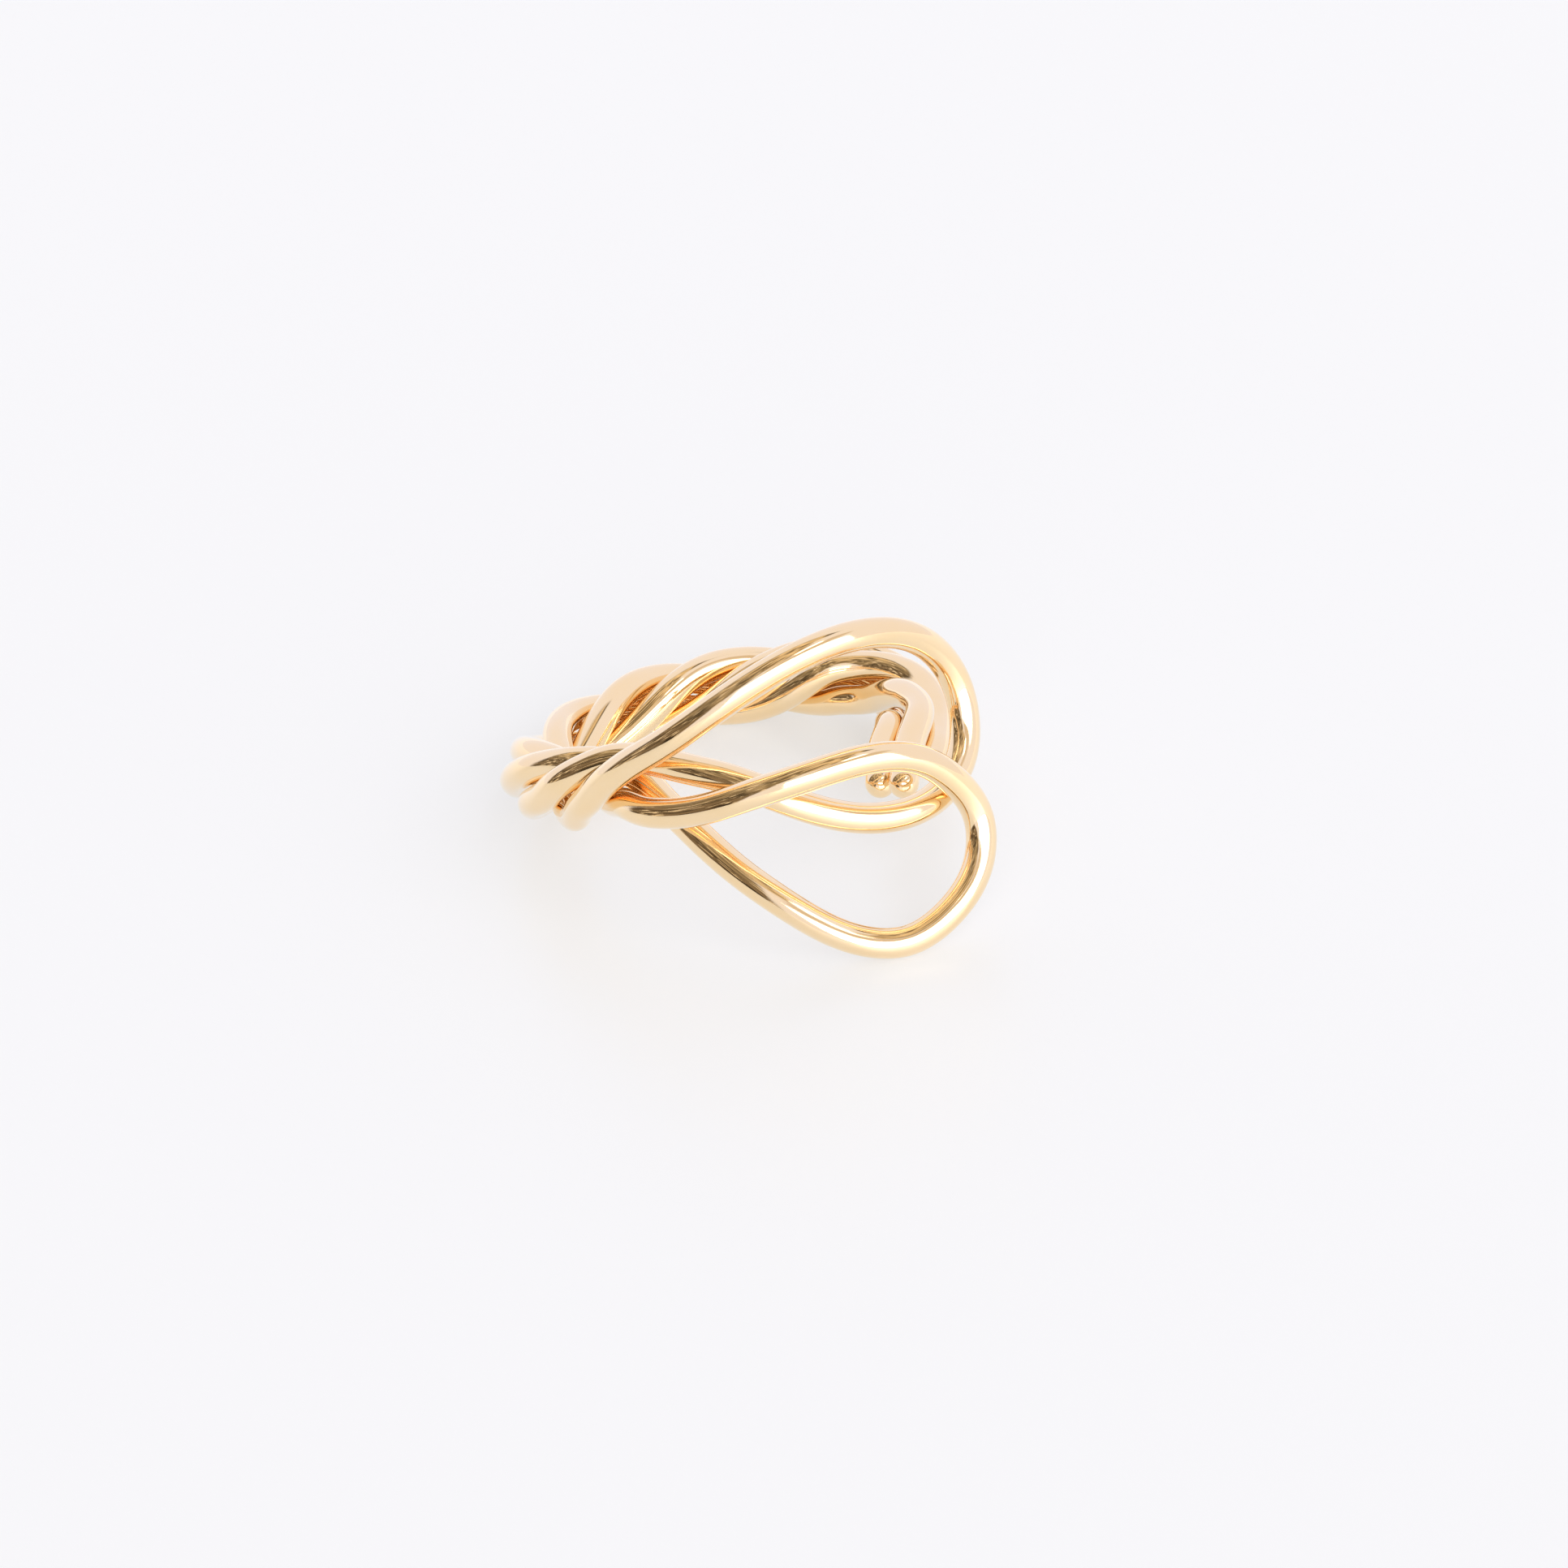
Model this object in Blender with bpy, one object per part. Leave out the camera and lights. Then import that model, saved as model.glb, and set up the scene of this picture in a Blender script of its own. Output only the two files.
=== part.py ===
"""An open finger ring twisted from two lengths of round wire.

Each wire is bent double. Its bend is a long teardrop loop, and its two legs go into a
four-strand twisted band that runs round the finger and ends in rounded tips. The loops
turn back over the band's ends, one above the other, on the outside of the ring.

Places along the ring are given as (ring angle, radius, height): degrees round the finger,
then millimetres out from the finger's axis, then millimetres along it. Angle 270 faces the
front, 180 is the left, 90 the back and 0 the right.
"""

import math

import bpy
import numpy as np
from mathutils import Euler, Matrix

MM = 0.001

# Wire
WIRE_DIAMETER = 1.74
WIRE_RADIUS = WIRE_DIAMETER / 2
STATION_SPACING = 0.8            # between cross-sections along a wire
FINE_STATIONS = 4000             # samples of a smooth route before it is spaced evenly
TIP_ANGLES = (14.0, 34.0, 60.0)  # stations round the hemisphere at a wire's tip
WIRE_SIDES_RESOLUTION = 3        # bevel resolution 3 is a ten-sided wire

# Twisted band
BAND_RADIUS = 11.2
OVALITY = 0.77                   # the band is a little wider than it is deep
OVAL_AXIS = -10.6
BAND_DROP = 4.4                  # the band winds down the finger by this much to angle 0
SADDLE = 0.44                    # and rises and falls twice in a turn
SADDLE_AXIS = 17.0
LEAN = 0.14                      # and hangs lower on the left
SAG_ANGLE = 150.0                # at the back left it sags and bulges a little
SAG_HALF_WIDTH = 45.0
SAG_DROP = 0.42
SAG_BULGE = 0.35
CROTCH_ANGLE = 238.0             # where the legs part into the loops
QUARTER_TWIST = 26.6             # ring angle for a quarter turn of the twist
STRAND_OFFSET = 1.40             # strand centre from the band's centre

# The band's open end leaves the regular curve after these angles and curls into the ring
JOIN_ANGLES = (92.0, 80.0, 68.0, 56.0)
BAND_END = (
    (44, 11.05, -4.65), (26, 10.35, -5.45), (8, 9.25, -5.7), (-10, 8.85, -5.9),
    (-26, 8.65, -6.55), (-50, 9.95, -8.25),
)
END_SAMPLES = 400
EASE_ANGLE = 16.0                # from here on the twist dies out
EASE_SPAN = 26.0                 # over this much of the ring

# The lower front leg is the outermost where the band curls in, and stands off a little
LOOSE_LEG = "lower_front"
LOOSENESS = 0.32
LOOSE_ANGLE = 72.0
LOOSE_SPAN = 28.0

# Twist phase of each leg at the crotch: 0 is outward, 90 is up the finger
LEG_PHASE = {"upper_front": 41.0, "upper_back": 131.0, "lower_front": -49.0, "lower_back": -139.0}

# Ring angles at which a leg leaves its loop for the twist, and ends
TWIST_SPAN = {
    "upper_front": (198.0, -24.0),
    "upper_back": (192.0, -48.0),
    "lower_front": (212.0, -16.0),
    "lower_back": (204.0, -45.0),
}
TWIST_STEP = 6.0                 # ring angle between the points taken from the twist

# The loops, laid by hand from the front leg round to the back leg
UPPER_LOOP = (
    (206, 11.9, -2.85), (213, 12.25, -2.15), (220, 12.5, -1.4), (226, 12.65, -0.65),
    (233, 12.8, 0.1), (240, 12.95, 0.7), (248, 13.2, 1.3), (257, 13.45, 2.05),
    (269, 13.7, 3.05), (283, 13.95, 3.85), (298, 14.1, 3.85), (311, 14.15, 2.85),
    (321.5, 14.25, 0.85), (326.5, 14.3, -1.95), (323.5, 14.25, -4.75), (312.5, 14.15, -6.65),
    (299, 14.0, -6.85), (284, 13.6, -5.45), (272, 13.2, -3.35), (260, 12.3, -1.55),
    (251, 11.7, -0.75), (243, 11.1, -0.25), (235, 10.75, 0.1), (226, 10.95, 0.3),
    (217, 11.7, 0.05), (208, 12.55, -0.6), (200, 12.85, -1.45),
)
LOWER_LOOP = (
    (220, 10.75, -2.35), (228, 11.6, -2.15), (236, 12.45, -2.4), (244, 13.05, -2.6),
    (252, 13.6, -2.65), (266, 14.65, -2.35), (280, 15.5, -2.2), (292, 16.0, -2.5),
    (301.5, 16.1, -3.7), (308.5, 16.1, -5.9), (311.5, 16.1, -8.5), (307.5, 16.1, -10.85),
    (298.5, 15.9, -12.5), (288, 15.4, -13.15), (277, 14.5, -12.0), (266, 13.5, -9.4),
    (256, 12.4, -6.9), (249, 11.6, -5.2), (242, 10.8, -3.75), (235, 10.15, -2.55),
    (228, 9.65, -1.5), (220, 9.6, -0.75), (212, 9.95, -0.3),
)

# How the ring lies on a table: on the lower loop and two places under the back of the band
REST_ROTATION = (-17.96, -8.98, 5.73)

GOLD = (0.91, 0.68, 0.40, 1.0)
GOLD_ROUGHNESS = 0.12


def clear_scene():
    """Remove every object of the scene."""
    for existing in list(bpy.data.objects):
        bpy.data.objects.remove(existing, do_unlink=True)


def regular_centre(angle):
    """Radius and height of the band's centre line where it winds evenly."""
    turn = math.radians(angle)
    radius = BAND_RADIUS + OVALITY * math.cos(2 * (turn - math.radians(OVAL_AXIS)))
    height = -BAND_DROP * (CROTCH_ANGLE - angle) / CROTCH_ANGLE
    height -= SADDLE * math.sin(2 * turn + math.radians(SADDLE_AXIS))
    height -= LEAN * (1 - math.cos(turn))
    off_middle = min(abs(angle - SAG_ANGLE) / SAG_HALF_WIDTH, 1.0)
    sag = (1 + math.cos(math.pi * off_middle)) / 2
    return radius + SAG_BULGE * sag, height - SAG_DROP * sag


def end_curve():
    """Fine points (angle, radius, height) of the centre line of the band's open end."""
    joined = [(angle, *regular_centre(angle)) for angle in JOIN_ANGLES]
    return natural_spline(np.array(joined + list(BAND_END)), END_SAMPLES)[::-1]


def band_centre(angle, end):
    """Radius and height of the band's centre line at any ring angle."""
    if angle >= JOIN_ANGLES[-1]:
        return regular_centre(angle)
    return np.interp(angle, end[:, 0], end[:, 1]), np.interp(angle, end[:, 0], end[:, 2])


def twist_so_far(angle):
    """Degrees that the legs have twisted between the crotch and a ring angle."""
    rate = 90 / QUARTER_TWIST
    eased = min(max(EASE_ANGLE - angle, 0.0), EASE_SPAN)
    return rate * (CROTCH_ANGLE - max(angle, EASE_ANGLE) + eased - eased ** 2 / (2 * EASE_SPAN))


def leg_points(leg):
    """Points of a whole leg, from its loop to its tip, wound round the band's centre."""
    end = end_curve()
    start, stop = TWIST_SPAN[leg]
    count = round((start - stop) / TWIST_STEP) + 1
    points = []
    for angle in np.linspace(start, stop, count):
        phase = math.radians(LEG_PHASE[leg] - twist_so_far(angle))
        offset = STRAND_OFFSET
        if leg == LOOSE_LEG:
            offset += LOOSENESS * min(max((LOOSE_ANGLE - angle) / LOOSE_SPAN, 0.0), 1.0)
        radius, height = band_centre(angle, end)
        points.append((angle, radius + offset * math.cos(phase), height + offset * math.sin(phase)))
    return points


def to_position(point):
    """Turn (ring angle, radius, height) into x, y, z in millimetres."""
    angle, radius, height = point
    turn = math.radians(angle)
    return radius * math.cos(turn), radius * math.sin(turn), height


def natural_spline(knots, count):
    """Sample a natural cubic spline through the knots at evenly spread parameters."""
    lengths = np.linalg.norm(np.diff(knots, axis=0), axis=1)
    parameter = np.concatenate(([0.0], np.cumsum(lengths)))
    size = len(knots)
    matrix = np.eye(size)
    right = np.zeros((size, 3))
    slopes = np.diff(knots, axis=0) / lengths[:, None]
    for row in range(1, size - 1):
        before = lengths[row - 1]
        after = lengths[row]
        matrix[row, row - 1:row + 2] = before, 2 * (before + after), after
        right[row] = 6 * (slopes[row] - slopes[row - 1])
    bends = np.linalg.solve(matrix, right)
    samples = np.linspace(0.0, parameter[-1], count)
    span = np.clip(np.searchsorted(parameter, samples, side="right") - 1, 0, size - 2)
    width = lengths[span][:, None]
    left = (parameter[span + 1] - samples)[:, None] / width
    done = 1 - left
    curve = left * knots[span] + done * knots[span + 1]
    curve += ((left ** 3 - left) * bends[span] + (done ** 3 - done) * bends[span + 1]) * width ** 2 / 6
    return curve


def wire_stations(route):
    """Positions along a wire and the share of the full radius that each has.

    The stations are evenly spaced, and close up round the hemisphere at each tip.
    """
    steps = np.linalg.norm(np.diff(route, axis=0), axis=1)
    travel = np.concatenate(([0.0], np.cumsum(steps)))
    length = travel[-1]
    tip_places = [WIRE_RADIUS * (1 - math.cos(math.radians(angle))) for angle in TIP_ANGLES]
    tip_shares = [math.sin(math.radians(angle)) for angle in TIP_ANGLES]
    count = round((length - WIRE_DIAMETER) / STATION_SPACING)
    body = np.linspace(WIRE_RADIUS, length - WIRE_RADIUS, count)
    far_places = [length - place for place in reversed(tip_places)]
    places = np.concatenate((tip_places, body, far_places))
    shares = tip_shares + [1.0] * count + tip_shares[::-1]
    positions = [np.interp(places, travel, route[:, axis]) for axis in range(3)]
    return np.stack(positions, axis=1), shares


def make_gold(name):
    """Polished yellow gold plating."""
    material = bpy.data.materials.new(name)
    material.use_nodes = True
    shader = material.node_tree.nodes["Principled BSDF"]
    shader.inputs["Base Color"].default_value = GOLD
    shader.inputs["Metallic"].default_value = 1.0
    shader.inputs["Roughness"].default_value = GOLD_ROUGHNESS
    return material


def make_wire(name, front_leg, loop, back_leg, collection):
    """One wire, from the tip of its front leg, through its loop, to the tip of its back leg."""
    points = leg_points(front_leg)[::-1] + list(loop) + leg_points(back_leg)
    knots = np.array([to_position(point) for point in points])
    route = natural_spline(knots, FINE_STATIONS)
    positions, shares = wire_stations(route)
    curve = bpy.data.curves.new(name, "CURVE")
    curve.dimensions = "3D"
    curve.bevel_depth = WIRE_RADIUS * MM
    curve.bevel_resolution = WIRE_SIDES_RESOLUTION
    curve.use_fill_caps = True
    spline = curve.splines.new("POLY")
    spline.points.add(len(positions) - 1)
    for station, position, share in zip(spline.points, positions, shares):
        station.co = (*(position * MM), 1.0)
        station.radius = share
    spline.use_smooth = True
    wire = bpy.data.objects.new(name, curve)
    curve.materials.append(make_gold(name + "_gold"))
    collection.objects.link(wire)
    return wire


def lowest_and_highest(wires):
    """Corners of the box round the wires, in world axes."""
    bpy.context.view_layer.update()
    graph = bpy.context.evaluated_depsgraph_get()
    corners = []
    for wire in wires:
        shown = wire.evaluated_get(graph)
        mesh = shown.to_mesh()
        corners += [shown.matrix_world @ vertex.co for vertex in mesh.vertices]
        shown.to_mesh_clear()
    corners = np.array(corners)
    return corners.min(axis=0), corners.max(axis=0)


def stand_on_table(wires, collection):
    """Hang the wires on one empty, tilt it to rest, and put the origin under the middle."""
    ring = bpy.data.objects.new("ring_at_rest", None)
    collection.objects.link(ring)
    for wire in wires:
        wire.parent = ring
    tilt = Euler([math.radians(angle) for angle in REST_ROTATION], "XYZ")
    ring.matrix_world = tilt.to_matrix().to_4x4()
    low, high = lowest_and_highest(wires)
    middle = (low + high) / 2
    ring.matrix_world = Matrix.Translation((-middle[0], -middle[1], -low[2])) @ ring.matrix_world


def build():
    clear_scene()
    collection = bpy.data.collections.new("twisted_wire_ring")
    bpy.context.scene.collection.children.link(collection)
    upper_wire = make_wire("upper_loop_wire", "upper_front", UPPER_LOOP, "upper_back", collection)
    lower_wire = make_wire("lower_loop_wire", "lower_front", LOWER_LOOP, "lower_back", collection)
    stand_on_table([upper_wire, lower_wire], collection)


build()
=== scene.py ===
"""The visual model of an open finger ring twisted from two round gold wires.

It follows the same routes as the CAD part, with fine round wires that are polished by hand:
a little uneven, with faint lines along them. Places along the ring are given as (ring angle,
radius, height): degrees round the finger, then millimetres out from the finger's axis, then
millimetres along it. Angle 270 faces the front, 180 is the left, 90 the back and 0 the right.
"""

import math

import bpy
import numpy as np
from mathutils import Euler, Matrix, Vector, noise


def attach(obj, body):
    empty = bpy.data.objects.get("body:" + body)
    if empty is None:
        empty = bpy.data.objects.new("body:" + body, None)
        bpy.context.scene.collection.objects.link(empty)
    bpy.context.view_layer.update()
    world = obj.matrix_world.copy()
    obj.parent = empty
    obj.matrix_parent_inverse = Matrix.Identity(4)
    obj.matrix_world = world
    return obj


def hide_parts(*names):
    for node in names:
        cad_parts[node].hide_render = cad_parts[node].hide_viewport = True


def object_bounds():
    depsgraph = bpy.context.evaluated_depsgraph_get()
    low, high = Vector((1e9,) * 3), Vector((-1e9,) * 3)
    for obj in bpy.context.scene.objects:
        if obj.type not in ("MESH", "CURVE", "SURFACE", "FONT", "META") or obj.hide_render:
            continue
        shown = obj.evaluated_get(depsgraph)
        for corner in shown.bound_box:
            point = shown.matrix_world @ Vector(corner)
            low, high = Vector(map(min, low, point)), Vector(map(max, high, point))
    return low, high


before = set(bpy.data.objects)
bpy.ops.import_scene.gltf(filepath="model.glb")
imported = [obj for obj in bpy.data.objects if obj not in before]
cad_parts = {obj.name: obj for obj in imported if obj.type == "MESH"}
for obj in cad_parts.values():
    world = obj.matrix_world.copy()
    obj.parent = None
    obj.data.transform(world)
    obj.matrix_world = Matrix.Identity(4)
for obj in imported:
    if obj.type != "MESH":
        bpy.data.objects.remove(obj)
cad_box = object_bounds()

MM = 0.001

# Wire
WIRE_DIAMETER = 1.74
WIRE_RADIUS = WIRE_DIAMETER / 2
STATION_SPACING = 0.11           # between cross-sections along a wire
SIDES = 64
TIP_STATIONS = 10
TIP_ANGLES = (8.0, 82.0)         # first and last station round the hemisphere at a wire's tip
FINE_STATIONS = 4000             # samples of a smooth route before it is spaced evenly

# Twisted band
BAND_RADIUS = 11.2
OVALITY = 0.77                   # the band is a little wider than it is deep
OVAL_AXIS = -10.6
BAND_DROP = 4.4                  # the band winds down the finger by this much to angle 0
SADDLE = 0.44                    # and rises and falls twice in a turn
SADDLE_AXIS = 17.0
LEAN = 0.14                      # and hangs lower on the left
SAG_ANGLE = 150.0                # at the back left it sags and bulges a little
SAG_HALF_WIDTH = 45.0
SAG_DROP = 0.42
SAG_BULGE = 0.35
CROTCH_ANGLE = 238.0             # where the legs part into the loops
QUARTER_TWIST = 26.6             # ring angle for a quarter turn of the twist
STRAND_OFFSET = 1.40             # strand centre from the band's centre

# The band's open end leaves the regular curve after these angles and curls into the ring
JOIN_ANGLES = (92.0, 80.0, 68.0, 56.0)
BAND_END = (
    (44, 11.05, -4.65), (26, 10.35, -5.45), (8, 9.25, -5.7), (-10, 8.85, -5.9),
    (-26, 8.65, -6.55), (-50, 9.95, -8.25),
)
END_SAMPLES = 400
EASE_ANGLE = 16.0                # from here on the twist dies out
EASE_SPAN = 26.0                 # over this much of the ring

# The lower front leg is the outermost where the band curls in, and stands off a little
LOOSE_LEG = "lower_front"
LOOSENESS = 0.32
LOOSE_ANGLE = 72.0
LOOSE_SPAN = 28.0

# Twist phase of each leg at the crotch: 0 is outward, 90 is up the finger
LEG_PHASE = {"upper_front": 41.0, "upper_back": 131.0, "lower_front": -49.0, "lower_back": -139.0}

# Ring angles at which a leg leaves its loop for the twist, and ends
TWIST_SPAN = {
    "upper_front": (198.0, -24.0),
    "upper_back": (192.0, -48.0),
    "lower_front": (212.0, -16.0),
    "lower_back": (204.0, -45.0),
}
TWIST_STEP = 6.0                 # ring angle between the points taken from the twist

# The loops, from the front leg round to the back leg
UPPER_LOOP = (
    (206, 11.9, -2.85), (213, 12.25, -2.15), (220, 12.5, -1.4), (226, 12.65, -0.65),
    (233, 12.8, 0.1), (240, 12.95, 0.7), (248, 13.2, 1.3), (257, 13.45, 2.05),
    (269, 13.7, 3.05), (283, 13.95, 3.85), (298, 14.1, 3.85), (311, 14.15, 2.85),
    (321.5, 14.25, 0.85), (326.5, 14.3, -1.95), (323.5, 14.25, -4.75), (312.5, 14.15, -6.65),
    (299, 14.0, -6.85), (284, 13.6, -5.45), (272, 13.2, -3.35), (260, 12.3, -1.55),
    (251, 11.7, -0.75), (243, 11.1, -0.25), (235, 10.75, 0.1), (226, 10.95, 0.3),
    (217, 11.7, 0.05), (208, 12.55, -0.6), (200, 12.85, -1.45),
)
LOWER_LOOP = (
    (220, 10.75, -2.35), (228, 11.6, -2.15), (236, 12.45, -2.4), (244, 13.05, -2.6),
    (252, 13.6, -2.65), (266, 14.65, -2.35), (280, 15.5, -2.2), (292, 16.0, -2.5),
    (301.5, 16.1, -3.7), (308.5, 16.1, -5.9), (311.5, 16.1, -8.5), (307.5, 16.1, -10.85),
    (298.5, 15.9, -12.5), (288, 15.4, -13.15), (277, 14.5, -12.0), (266, 13.5, -9.4),
    (256, 12.4, -6.9), (249, 11.6, -5.2), (242, 10.8, -3.75), (235, 10.15, -2.55),
    (228, 9.65, -1.5), (220, 9.6, -0.75), (212, 9.95, -0.3),
)

# How the ring lies on a table: on the lower loop and two places under the back of the band
REST_ROTATION = (-17.96, -8.98, 5.73)

# Hand polishing: the wire is uneven by a few micrometres. Each wire has a seed of its own.
WAVE_LENGTH = 2.6
WAVE_HEIGHT = 0.006
DENT_LENGTH = 0.9
DENT_HEIGHT = 0.0034
UPPER_SEED = 3.0
LOWER_SEED = 47.0

# Gold. The haze is a soft mottle that varies the tone and the roughness; scales are per metre.
GOLD_TONES = ((0.3, (0.975, 0.723, 0.39)), (0.75, (0.98, 0.748, 0.45)))
COAT_IOR = 1.8
COAT_ROUGHNESS = 0.06
HAZE_SCALE = 420.0
HAZE_DETAIL = 4.0
HAZE_LEVELS = (0.35, 0.7)
HAZE_ROUGHNESS = (0.05, 0.12)
DRAWN_LINES_SCALE = (90.0, 9000.0, 1.0)
DRAWN_LINES_DETAIL = 3.0
DRAWN_LINES_BUMP = 0.06
GRAIN_SCALE = 5200.0
GRAIN_DETAIL = 2.0
GRAIN_BUMP = 0.10
BUMP_DEPTH = 0.01 * MM

# Floor
FLOOR_SIZE = 6.0
FLOOR_COLOUR = (0.37, 0.373, 0.383, 1.0)
FLOOR_GLOW = (0.53, 0.54, 0.545, 1.0)
FLOOR_ROUGHNESS = 0.36

# Studio. The dark side of the room lies between two slanted edges, each given by the
# bearing (azimuth, elevation) that it faces; it is lighter towards the ceiling.
DARK_LEFT_EDGE = (-15.0, 28.0)
DARK_RIGHT_EDGE = (-127.0, 15.0)
EDGE_SOFTNESS = 0.10
DARK_TONES = ((0.48, (0.13, 0.098, 0.066)), (0.78, (0.30, 0.24, 0.16)), (0.96, (0.53, 0.415, 0.275)))
CLUTTER_SCALE = 5.0              # what stands in the dark side: uneven, with a few pale things
CLUTTER_LEVELS = (0.36, 0.66)
CLUTTER_BRIGHTNESS = (0.3, 2.0)
CLUTTER_DETAIL = 3.0
PALE_SCALE = 9.0
PALE_LEVELS = (0.585, 0.61)
PALE_TONE = (0.85, 0.72, 0.56, 1.0)
CEILING_PATCH = (-20.0, 78.0)    # a dim patch of ceiling
CEILING_PATCH_RADII = (16.0, 24.0)
RAIL_AZIMUTH = 40.0              # a tan rail above the softbox
RAIL_SPREAD = (0.40, 0.47)
RAIL_ELEVATIONS = (43.0, 46.0, 57.0, 59.0)
RAIL_TONE = (0.74, 0.63, 0.54, 1.0)
WALL_TONE = (0.95, 0.94, 1.06, 1.0)

# Lights: azimuth, elevation, distance, width, height, power
KEY_LIGHT = (24.0, 23.0, 1.80, 2.70, 1.45, 29.0)
BAR_LIGHT = (45.0, 63.0, 1.80, 0.62, 0.19, 0.8)
LIGHT_COLOUR = (1.0, 0.99, 0.98)

# Sockets of a colour mix
MIX_FIRST = 6
MIX_SECOND = 7
MIX_RESULT = 2

# Camera
CAMERA_ELEVATION = 32.26
CAMERA_ROLL = 7.93
CAMERA_DISTANCE = 0.460
CAMERA_LENS = 186.0
SENSOR_WIDTH = 36.0
CLIP = (0.01, 20.0)
AIM_RIGHT = 2.94 * MM            # where the picture's centre is, from the finger axis's middle
AIM_DOWN = 5.53 * MM

MAX_BOUNCES = 20
GLOSSY_BOUNCES = 8


def regular_centre(angle):
    """Radius and height of the band's centre line where it winds evenly."""
    turn = math.radians(angle)
    radius = BAND_RADIUS + OVALITY * math.cos(2 * (turn - math.radians(OVAL_AXIS)))
    height = -BAND_DROP * (CROTCH_ANGLE - angle) / CROTCH_ANGLE
    height -= SADDLE * math.sin(2 * turn + math.radians(SADDLE_AXIS))
    height -= LEAN * (1 - math.cos(turn))
    off_middle = min(abs(angle - SAG_ANGLE) / SAG_HALF_WIDTH, 1.0)
    sag = (1 + math.cos(math.pi * off_middle)) / 2
    return radius + SAG_BULGE * sag, height - SAG_DROP * sag


def end_curve():
    """Fine points (angle, radius, height) of the centre line of the band's open end."""
    joined = [(angle, *regular_centre(angle)) for angle in JOIN_ANGLES]
    return natural_spline(np.array(joined + list(BAND_END)), END_SAMPLES)[::-1]


def band_centre(angle, end):
    """Radius and height of the band's centre line at any ring angle."""
    if angle >= JOIN_ANGLES[-1]:
        return regular_centre(angle)
    return np.interp(angle, end[:, 0], end[:, 1]), np.interp(angle, end[:, 0], end[:, 2])


def twist_so_far(angle):
    """Degrees that the legs have twisted between the crotch and a ring angle."""
    rate = 90 / QUARTER_TWIST
    eased = min(max(EASE_ANGLE - angle, 0.0), EASE_SPAN)
    return rate * (CROTCH_ANGLE - max(angle, EASE_ANGLE) + eased - eased ** 2 / (2 * EASE_SPAN))


def leg_points(leg):
    """Points of a whole leg, from its loop to its tip, wound round the band's centre."""
    end = end_curve()
    start, stop = TWIST_SPAN[leg]
    count = round((start - stop) / TWIST_STEP) + 1
    points = []
    for angle in np.linspace(start, stop, count):
        phase = math.radians(LEG_PHASE[leg] - twist_so_far(angle))
        offset = STRAND_OFFSET
        if leg == LOOSE_LEG:
            offset += LOOSENESS * min(max((LOOSE_ANGLE - angle) / LOOSE_SPAN, 0.0), 1.0)
        radius, height = band_centre(angle, end)
        points.append((angle, radius + offset * math.cos(phase), height + offset * math.sin(phase)))
    return points


def to_position(point):
    """Turn (ring angle, radius, height) into x, y, z in millimetres."""
    angle, radius, height = point
    turn = math.radians(angle)
    return radius * math.cos(turn), radius * math.sin(turn), height


def natural_spline(knots, count):
    """Sample a natural cubic spline through the knots at evenly spread parameters."""
    lengths = np.linalg.norm(np.diff(knots, axis=0), axis=1)
    parameter = np.concatenate(([0.0], np.cumsum(lengths)))
    size = len(knots)
    matrix = np.eye(size)
    right = np.zeros((size, 3))
    slopes = np.diff(knots, axis=0) / lengths[:, None]
    for row in range(1, size - 1):
        before = lengths[row - 1]
        after = lengths[row]
        matrix[row, row - 1:row + 2] = before, 2 * (before + after), after
        right[row] = 6 * (slopes[row] - slopes[row - 1])
    bends = np.linalg.solve(matrix, right)
    samples = np.linspace(0.0, parameter[-1], count)
    span = np.clip(np.searchsorted(parameter, samples, side="right") - 1, 0, size - 2)
    width = lengths[span][:, None]
    left = (parameter[span + 1] - samples)[:, None] / width
    done = 1 - left
    curve = left * knots[span] + done * knots[span + 1]
    curve += ((left ** 3 - left) * bends[span] + (done ** 3 - done) * bends[span + 1]) * width ** 2 / 6
    return curve


def wire_stations(route):
    """Positions along a wire, the distance to each, and the share of the radius it has."""
    steps = np.linalg.norm(np.diff(route, axis=0), axis=1)
    travel = np.concatenate(([0.0], np.cumsum(steps)))
    length = travel[-1]
    angles = np.radians(np.linspace(*TIP_ANGLES, TIP_STATIONS))
    tip_places = WIRE_RADIUS * (1 - np.cos(angles))
    tip_shares = np.sin(angles)
    count = round((length - WIRE_DIAMETER) / STATION_SPACING)
    body = np.linspace(WIRE_RADIUS, length - WIRE_RADIUS, count)
    places = np.concatenate((tip_places, body, length - tip_places[::-1]))
    shares = np.concatenate((tip_shares, np.ones(count), tip_shares[::-1]))
    positions = np.stack([np.interp(places, travel, route[:, axis]) for axis in range(3)], axis=1)
    return positions, places, shares


def carried_frames(positions):
    """Two directions across the wire at each station, carried along it without twisting."""
    tangents = np.gradient(positions, axis=0)
    tangents /= np.linalg.norm(tangents, axis=1)[:, None]
    across = np.cross(tangents[0], (0.0, 0.0, 1.0))
    across /= np.linalg.norm(across)
    firsts = []
    seconds = []
    for tangent in tangents:
        across = across - tangent * np.dot(across, tangent)
        across /= np.linalg.norm(across)
        firsts.append(across)
        seconds.append(np.cross(tangent, across))
    return np.array(firsts), np.array(seconds)


def unevenness(place, turn, seed):
    """How far the polished surface stands off a perfect round wire, in millimetres."""
    around = Vector((math.cos(turn), math.sin(turn), 0)) * WIRE_RADIUS
    wave = noise.noise(Vector((around.x, around.y, place + seed)) / WAVE_LENGTH)
    dent = noise.noise(Vector((around.x, around.y, place - seed)) / DENT_LENGTH)
    return WAVE_HEIGHT * wave + DENT_HEIGHT * dent


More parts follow.
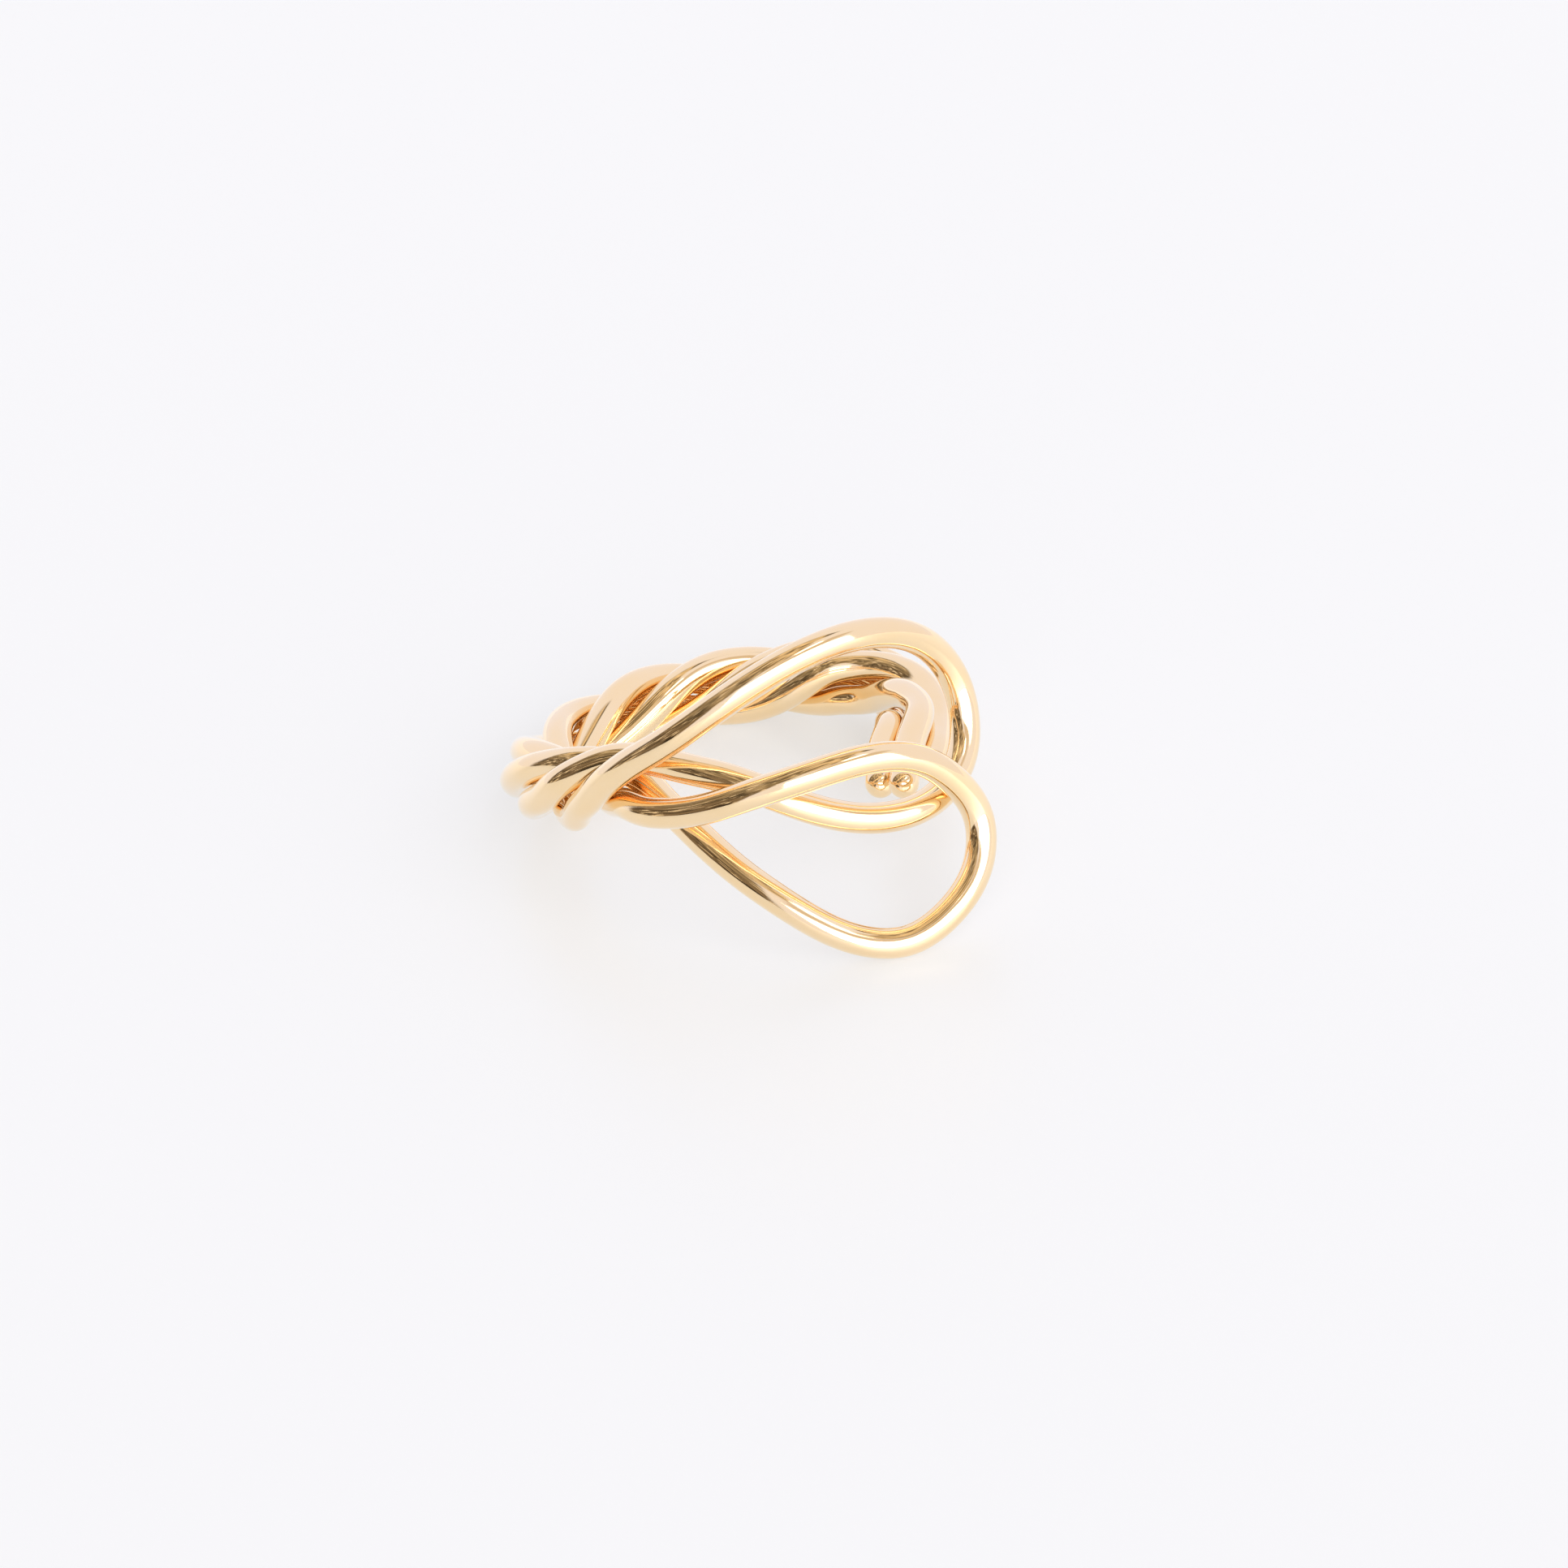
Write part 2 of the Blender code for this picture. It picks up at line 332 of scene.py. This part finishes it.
def wire_mesh(name, knots, seed):
    """A fine closed tube along the knots, with rounded tips and lengthwise UVs."""
    route = natural_spline(knots, FINE_STATIONS)
    positions, places, shares = wire_stations(route)
    firsts, seconds = carried_frames(positions)
    rings = len(positions)
    vertices = []
    for ring in range(rings):
        for side in range(SIDES):
            turn = 2 * math.pi * side / SIDES
            out = math.cos(turn) * firsts[ring] + math.sin(turn) * seconds[ring]
            reach = shares[ring] * (WIRE_RADIUS + unevenness(places[ring], turn, seed))
            vertices.append((positions[ring] + out * reach) * MM)
    start_pole = len(vertices)
    vertices.append(route[0] * MM)
    vertices.append(route[-1] * MM)
    faces = []
    for ring in range(rings - 1):
        for side in range(SIDES):
            here = ring * SIDES + side
            beside = ring * SIDES + (side + 1) % SIDES
            faces.append((here, beside, beside + SIDES, here + SIDES))
    last = (rings - 1) * SIDES
    for side in range(SIDES):
        beside = (side + 1) % SIDES
        faces.append((start_pole, beside, side))
        faces.append((start_pole + 1, last + side, last + beside))
    mesh = bpy.data.meshes.new(name)
    mesh.from_pydata(vertices, [], faces)
    mesh.polygons.foreach_set("use_smooth", [True] * len(mesh.polygons))
    add_lengthwise_uvs(mesh, places, rings)
    mesh.update()
    return mesh


def add_lengthwise_uvs(mesh, places, rings):
    """UVs in millimetres on the wire's surface: along it, and round it."""
    layer = mesh.uv_layers.new(name="lengthwise")
    for polygon in mesh.polygons:
        sides = [mesh.loops[loop].vertex_index % SIDES for loop in polygon.loop_indices]
        wraps = max(sides) - min(sides) > 1
        for loop in polygon.loop_indices:
            vertex = mesh.loops[loop].vertex_index
            ring = min(vertex // SIDES, rings - 1)
            side = vertex % SIDES
            if wraps and side == 0:
                side = SIDES
            place = places[ring]
            layer.data[loop].uv = place * MM, side / SIDES * math.pi * WIRE_DIAMETER * MM


def link(tree, source, source_socket, target, target_socket):
    """Join two nodes of a material."""
    tree.links.new(source.outputs[source_socket], target.inputs[target_socket])


def spread(map_range, source, target):
    """Make a map range node spread one range of values over another."""
    map_range.inputs["From Min"].default_value = source[0]
    map_range.inputs["From Max"].default_value = source[1]
    map_range.inputs["To Min"].default_value = target[0]
    map_range.inputs["To Max"].default_value = target[1]


def set_stops(ramp, stops):
    """Set the stops of a colour ramp, which has as many already."""
    for stop, (position, tone) in zip(ramp.color_ramp.elements, stops):
        stop.position = position
        stop.color = (*tone, 1.0)


def polished_gold(name):
    """Polished gold plating: warm and bright, with a faint haze and fine drawn lines."""
    material = bpy.data.materials.new(name)
    material.use_nodes = True
    tree = material.node_tree
    shader = tree.nodes["Principled BSDF"]
    shader.inputs["Metallic"].default_value = 1.0
    shader.inputs["Coat Weight"].default_value = 1.0
    shader.inputs["Coat IOR"].default_value = COAT_IOR
    shader.inputs["Coat Roughness"].default_value = COAT_ROUGHNESS
    uvs = tree.nodes.new("ShaderNodeUVMap")
    uvs.uv_map = "lengthwise"
    object_space = tree.nodes.new("ShaderNodeTexCoord")

    stretch = tree.nodes.new("ShaderNodeMapping")
    stretch.inputs["Scale"].default_value = DRAWN_LINES_SCALE
    link(tree, uvs, "UV", stretch, "Vector")
    lines = tree.nodes.new("ShaderNodeTexNoise")
    lines.inputs["Scale"].default_value = 1.0
    lines.inputs["Detail"].default_value = DRAWN_LINES_DETAIL
    link(tree, stretch, "Vector", lines, "Vector")

    haze = tree.nodes.new("ShaderNodeTexNoise")
    haze.inputs["Scale"].default_value = HAZE_SCALE
    haze.inputs["Detail"].default_value = HAZE_DETAIL
    link(tree, object_space, "Object", haze, "Vector")
    roughness = tree.nodes.new("ShaderNodeMapRange")
    spread(roughness, HAZE_LEVELS, HAZE_ROUGHNESS)
    link(tree, haze, "Fac", roughness, "Value")
    link(tree, roughness, "Result", shader, "Roughness")

    tone = tree.nodes.new("ShaderNodeValToRGB")
    set_stops(tone, GOLD_TONES)
    link(tree, haze, "Fac", tone, "Fac")
    link(tree, tone, "Color", shader, "Base Color")

    grain = tree.nodes.new("ShaderNodeTexNoise")
    grain.inputs["Scale"].default_value = GRAIN_SCALE
    grain.inputs["Detail"].default_value = GRAIN_DETAIL
    link(tree, object_space, "Object", grain, "Vector")
    line_bump = tree.nodes.new("ShaderNodeBump")
    line_bump.inputs["Strength"].default_value = DRAWN_LINES_BUMP
    line_bump.inputs["Distance"].default_value = BUMP_DEPTH
    link(tree, lines, "Fac", line_bump, "Height")
    grain_bump = tree.nodes.new("ShaderNodeBump")
    grain_bump.inputs["Strength"].default_value = GRAIN_BUMP
    grain_bump.inputs["Distance"].default_value = BUMP_DEPTH
    link(tree, grain, "Fac", grain_bump, "Height")
    link(tree, line_bump, "Normal", grain_bump, "Normal")
    link(tree, grain_bump, "Normal", shader, "Normal")
    return material


def make_wire(name, front_leg, loop, back_leg, seed):
    """One wire, from the tip of its front leg, through its loop, to the tip of its back leg."""
    points = leg_points(front_leg)[::-1] + list(loop) + leg_points(back_leg)
    knots = np.array([to_position(point) for point in points])
    wire = bpy.data.objects.new(name, wire_mesh(name, knots, seed))
    bpy.context.scene.collection.objects.link(wire)
    wire.data.materials.append(polished_gold(name + "_polish"))
    return wire


def lay_in_cad_box(wires):
    """Tilt the wires as the ring rests, then move them to where the CAD part lies.

    Returns the world position of the ring's own origin, on the finger's axis.
    """
    tilt = Euler([math.radians(angle) for angle in REST_ROTATION], "XYZ").to_matrix().to_4x4()
    for wire in wires:
        wire.data.transform(tilt)
    corners = np.array([vertex.co for wire in wires for vertex in wire.data.vertices])
    low = corners.min(axis=0)
    middle = (low + corners.max(axis=0)) / 2
    cad_low = np.array(cad_box[0])
    cad_middle = (cad_low + np.array(cad_box[1])) / 2
    shift = Vector((cad_middle[0] - middle[0], cad_middle[1] - middle[1], cad_low[2] - low[2]))
    for wire in wires:
        wire.data.transform(Matrix.Translation(shift))
        wire.data.update()
    return shift


def dress(wire, node):
    """The fine wire stands for its CAD node."""
    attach(wire, "root")
    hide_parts(node)


def make_floor():
    """A light table: a pale top with a soft glow of its own."""
    bpy.ops.mesh.primitive_plane_add(size=FLOOR_SIZE)
    floor = bpy.context.object
    floor.name = "floor"
    material = bpy.data.materials.new("table_top")
    material.use_nodes = True
    shader = material.node_tree.nodes["Principled BSDF"]
    shader.inputs["Base Color"].default_value = FLOOR_COLOUR
    shader.inputs["Emission Color"].default_value = FLOOR_GLOW
    shader.inputs["Emission Strength"].default_value = 1.0
    shader.inputs["Roughness"].default_value = FLOOR_ROUGHNESS
    floor.data.materials.append(material)


def toward(azimuth, elevation):
    """Unit vector from the ring. Azimuth 0 is the camera's side and 90 the right."""
    turn = math.radians(azimuth)
    rise = math.radians(elevation)
    level = Vector((math.sin(turn), -math.cos(turn), 0.0)) * math.cos(rise)
    return level + Vector((0.0, 0.0, math.sin(rise)))


def facing(tree, direction, azimuth, elevation, start, end):
    """A mask that rises from 0 to 1 as the view direction turns toward a bearing."""
    dot = tree.nodes.new("ShaderNodeVectorMath")
    dot.operation = "DOT_PRODUCT"
    dot.inputs[1].default_value = toward(azimuth, elevation)
    link(tree, direction, "Generated", dot, 0)
    mask = tree.nodes.new("ShaderNodeMapRange")
    mask.interpolation_type = "SMOOTHSTEP"
    mask.inputs["From Min"].default_value = start
    mask.inputs["From Max"].default_value = end
    link(tree, dot, "Value", mask, "Value")
    return mask


def combine(tree, operation, first, second):
    """Join two masks with a maths operation."""
    node = tree.nodes.new("ShaderNodeMath")
    node.operation = operation
    link(tree, first, 0, node, 0)
    link(tree, second, 0, node, 1)
    return node


def rail_mask(tree, direction, height):
    """The mask of a level rail high up on the right."""
    bottom, full_from, full_to, top = [math.sin(math.radians(e)) for e in RAIL_ELEVATIONS]
    above = tree.nodes.new("ShaderNodeMapRange")
    above.inputs["From Min"].default_value = bottom
    above.inputs["From Max"].default_value = full_from
    link(tree, height, "Z", above, "Value")
    below = tree.nodes.new("ShaderNodeMapRange")
    below.inputs["From Min"].default_value = top
    below.inputs["From Max"].default_value = full_to
    link(tree, height, "Z", below, "Value")
    sideways = facing(tree, direction, RAIL_AZIMUTH, 0, *RAIL_SPREAD)
    return combine(tree, "MULTIPLY", combine(tree, "MULTIPLY", above, below), sideways)


def noise_levels(tree, direction, scale, source, target):
    """Noise over the room's bearings, spread from one range of values to another."""
    pattern = tree.nodes.new("ShaderNodeTexNoise")
    pattern.inputs["Scale"].default_value = scale
    pattern.inputs["Detail"].default_value = CLUTTER_DETAIL
    link(tree, direction, "Generated", pattern, "Vector")
    levels = tree.nodes.new("ShaderNodeMapRange")
    spread(levels, source, target)
    link(tree, pattern, "Fac", levels, "Value")
    return levels


def blend(tree, mask):
    """A colour mix that is driven by a mask."""
    mix = tree.nodes.new("ShaderNodeMix")
    mix.data_type = "RGBA"
    link(tree, mask, 0, mix, 0)
    return mix


def make_studio():
    """White walls all round, but for a dark, cluttered side at the left of the camera."""
    world = bpy.data.worlds.new("white_room")
    bpy.context.scene.world = world
    world.use_nodes = True
    tree = world.node_tree
    direction = tree.nodes.new("ShaderNodeTexCoord")
    height = tree.nodes.new("ShaderNodeSeparateXYZ")
    link(tree, direction, "Generated", height, 0)

    left_edge = facing(tree, direction, *DARK_LEFT_EDGE, 0.0, EDGE_SOFTNESS)
    right_edge = facing(tree, direction, *DARK_RIGHT_EDGE, 0.0, EDGE_SOFTNESS)
    dark_side = combine(tree, "MULTIPLY", left_edge, right_edge)
    inner, outer = [math.cos(math.radians(radius)) for radius in CEILING_PATCH_RADII]
    ceiling = facing(tree, direction, *CEILING_PATCH, outer, inner)
    dim = combine(tree, "MAXIMUM", dark_side, ceiling)

    shade = tree.nodes.new("ShaderNodeValToRGB")
    shade.color_ramp.elements.new(0.5)
    set_stops(shade, DARK_TONES)
    link(tree, height, "Z", shade, "Fac")

    clutter = noise_levels(tree, direction, CLUTTER_SCALE, CLUTTER_LEVELS, CLUTTER_BRIGHTNESS)
    uneven = tree.nodes.new("ShaderNodeVectorMath")
    uneven.operation = "MULTIPLY"
    link(tree, shade, "Color", uneven, 0)
    link(tree, clutter, "Result", uneven, 1)
    pale_mask = noise_levels(tree, direction, PALE_SCALE, PALE_LEVELS, (0.0, 1.0))
    pale_things = blend(tree, pale_mask)
    link(tree, uneven, "Vector", pale_things, MIX_FIRST)
    pale_things.inputs[MIX_SECOND].default_value = PALE_TONE

    railed = blend(tree, rail_mask(tree, direction, height))
    railed.inputs[MIX_FIRST].default_value = WALL_TONE
    railed.inputs[MIX_SECOND].default_value = RAIL_TONE
    room = blend(tree, dim)
    link(tree, railed, MIX_RESULT, room, MIX_FIRST)
    link(tree, pale_things, MIX_RESULT, room, MIX_SECOND)
    link(tree, room, MIX_RESULT, tree.nodes["Background"], "Color")


def softbox(name, azimuth, elevation, distance, width, height, power):
    """A rectangular light that faces the ring. Azimuth 0 is the camera's side, 90 the right."""
    light = bpy.data.lights.new(name, "AREA")
    light.shape = "RECTANGLE"
    light.size = width
    light.size_y = height
    light.energy = power
    light.color = LIGHT_COLOUR
    holder = bpy.data.objects.new(name, light)
    bpy.context.scene.collection.objects.link(holder)
    direction = toward(azimuth, elevation)
    holder.location = direction * distance
    holder.rotation_euler = direction.to_track_quat("Z", "Y").to_euler()


def make_lights():
    """One very large softbox behind the camera, on its right, and a bar of light high above it."""
    softbox("key", *KEY_LIGHT)
    softbox("bar", *BAR_LIGHT)


def make_camera(ring_origin):
    """The camera looks down at the front of the ring, a little rolled."""
    rise = math.radians(CAMERA_ELEVATION)
    roll = math.radians(CAMERA_ROLL)
    back = Vector((0.0, -math.cos(rise), math.sin(rise)))
    level_up = Vector((0.0, math.sin(rise), math.cos(rise)))
    level_right = Vector((1.0, 0.0, 0.0))
    right = level_right * math.cos(roll) - level_up * math.sin(roll)
    up = level_right * math.sin(roll) + level_up * math.cos(roll)
    place = ring_origin + back * CAMERA_DISTANCE
    aim = ring_origin + right * AIM_RIGHT - up * AIM_DOWN
    depth = (place - aim).normalized()
    side = up.cross(depth).normalized()
    top = depth.cross(side)
    data = bpy.data.cameras.new("camera")
    data.lens = CAMERA_LENS
    data.sensor_width = SENSOR_WIDTH
    data.clip_start, data.clip_end = CLIP
    camera = bpy.data.objects.new("camera", data)
    bpy.context.scene.collection.objects.link(camera)
    camera.matrix_world = Matrix.Translation(place) @ Matrix((side, top, depth)).transposed().to_4x4()
    bpy.context.scene.camera = camera
    bpy.context.scene.view_settings.view_transform = "Standard"


def let_light_into_the_twist():
    """Enough bounces to light the gaps between the strands, which redden if there are more."""
    cycles = bpy.context.scene.cycles
    cycles.max_bounces = MAX_BOUNCES
    cycles.glossy_bounces = GLOSSY_BOUNCES


upper_wire = make_wire("upper_wire", "upper_front", UPPER_LOOP, "upper_back", UPPER_SEED)
lower_wire = make_wire("lower_wire", "lower_front", LOWER_LOOP, "lower_back", LOWER_SEED)
ring_origin = lay_in_cad_box([upper_wire, lower_wire])
dress(upper_wire, "upper_loop_wire")
dress(lower_wire, "lower_loop_wire")
make_floor()
make_studio()
make_lights()
make_camera(ring_origin)
let_light_into_the_twist()
